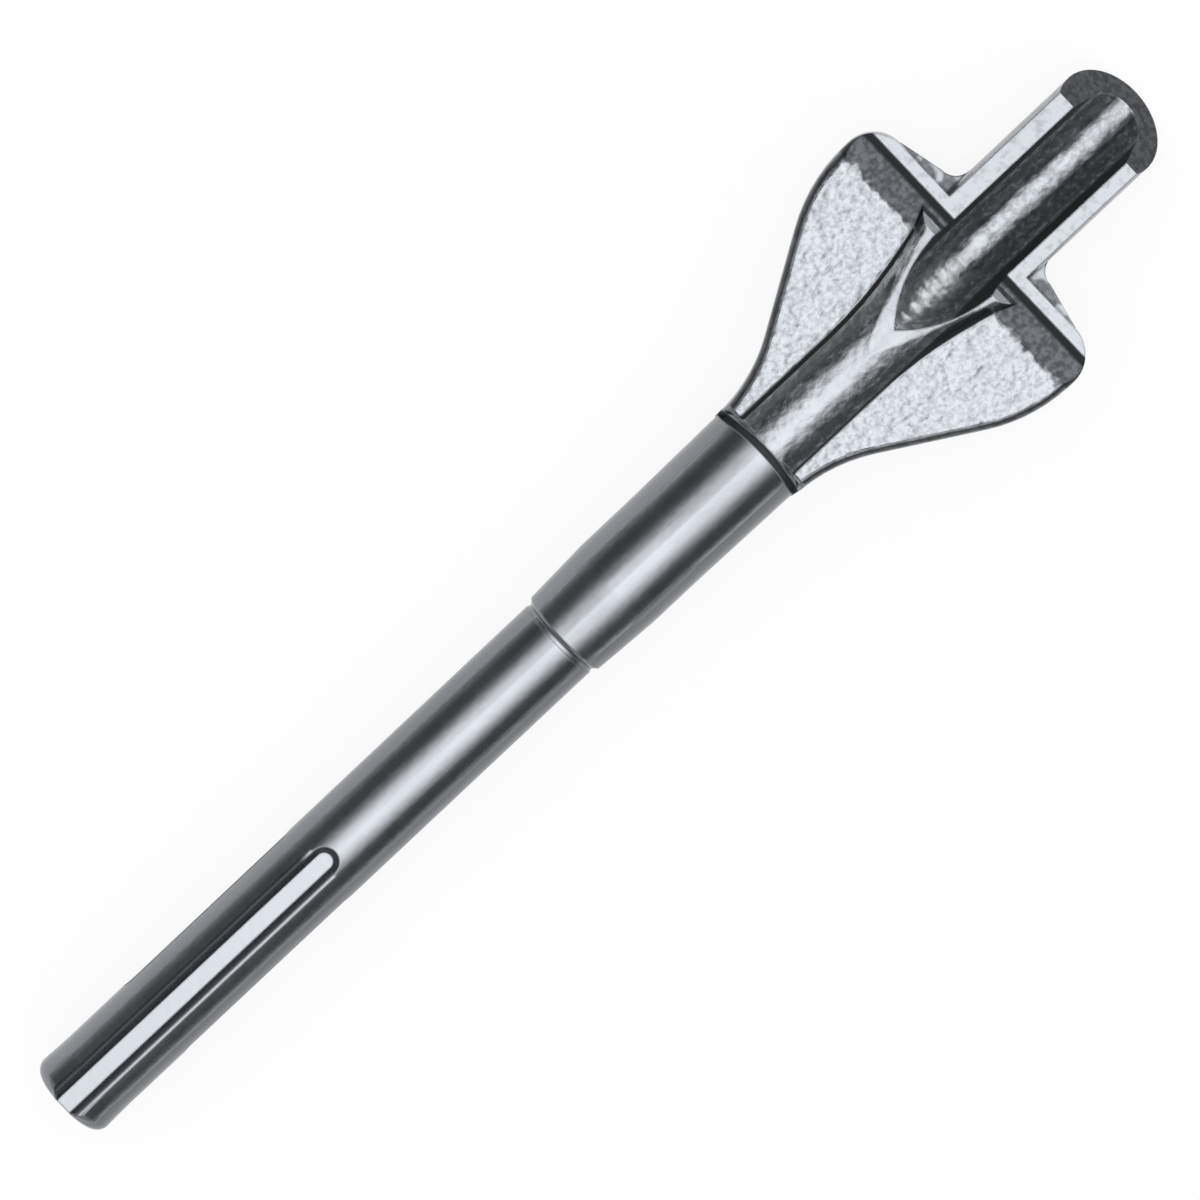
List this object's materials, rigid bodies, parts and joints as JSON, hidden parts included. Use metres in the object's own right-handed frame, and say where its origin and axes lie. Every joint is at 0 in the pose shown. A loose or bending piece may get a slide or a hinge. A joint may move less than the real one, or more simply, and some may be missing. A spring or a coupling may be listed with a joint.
{
  "type": "wing chisel",
  "caption": "Forged chisel bit for a rotary hammer: a slotted round shank, a head with two side wings and an open gouge with a bevelled tip.",
  "frame": {"origin": "centre of the striking face, on the tool's axis", "axes": "+X along the tool's axis from the striking face to the tip, +Z out of the gouge's trough, +Y across the wings"},
  "size_m": [0.292, 0.0642, 0.0224],
  "materials": {
    "steel": "bright machined shank, shot-blasted forged head"
  },
  "bodies": {
    "root": {"chisel": "steel"}
  },
  "joints": []
}
